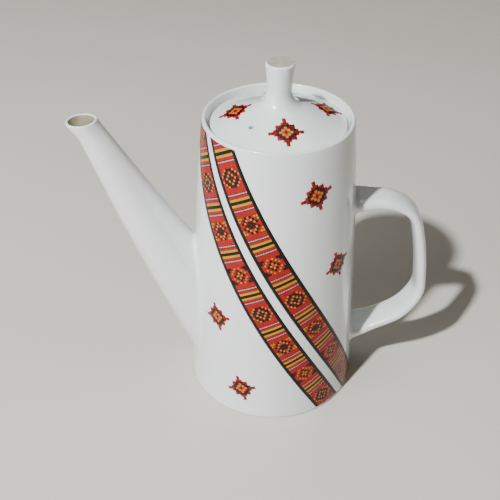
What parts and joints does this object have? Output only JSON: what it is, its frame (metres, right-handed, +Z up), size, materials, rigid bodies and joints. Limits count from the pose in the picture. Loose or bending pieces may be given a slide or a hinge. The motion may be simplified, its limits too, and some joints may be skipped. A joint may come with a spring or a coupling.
{
  "type": "coffee pot",
  "caption": "Tall tapered porcelain coffee pot with a long straight spout, a strap loop handle, a recessed lift-off lid with a waisted knob, and folk cross-stitch transfer bands.",
  "frame": {"origin": "on the standing plane, under the middle of the pot's overall box (the pot's own axis is 11.2 mm towards +X from it)", "axes": "+Z up along the pot's axis; the spout points to -X and the handle to +X, so the shortest extent is along Y; seen from -Y the decoration shown in the picture faces the viewer"},
  "size_m": [0.2223, 0.1116, 0.2263],
  "materials": {
    "porcelain": "white porcelain under a clear, glossy, faintly wavy glaze; bare matt biscuit on the foot ring",
    "transfer_ink": "red, black, yellow and orange on-glaze transfer print fired onto the glaze, satin to glossy"
  },
  "bodies": {
    "pot": {"pot_body": "porcelain", "spout": "porcelain", "handle": "porcelain", "front_band_left": "transfer_ink", "front_band_right": "transfer_ink", "front_star_1": "transfer_ink", "front_star_2": "transfer_ink", "front_star_3": "transfer_ink", "front_star_4": "transfer_ink", "back_band_left": "transfer_ink", "back_band_right": "transfer_ink", "back_star_1": "transfer_ink", "back_star_2": "transfer_ink", "back_star_3": "transfer_ink", "back_star_4": "transfer_ink"},
    "lid": {"lid": "porcelain", "lid_knob": "porcelain", "lid_star_1": "transfer_ink", "lid_star_2": "transfer_ink", "lid_star_3": "transfer_ink", "lid_star_4": "transfer_ink"}
  },
  "joints": [
    {"name": "lid_lift", "type": "slide", "parent": "pot", "child": "lid", "axis": [0, 0, 1], "range_m": [0, 0.08]}
  ]
}
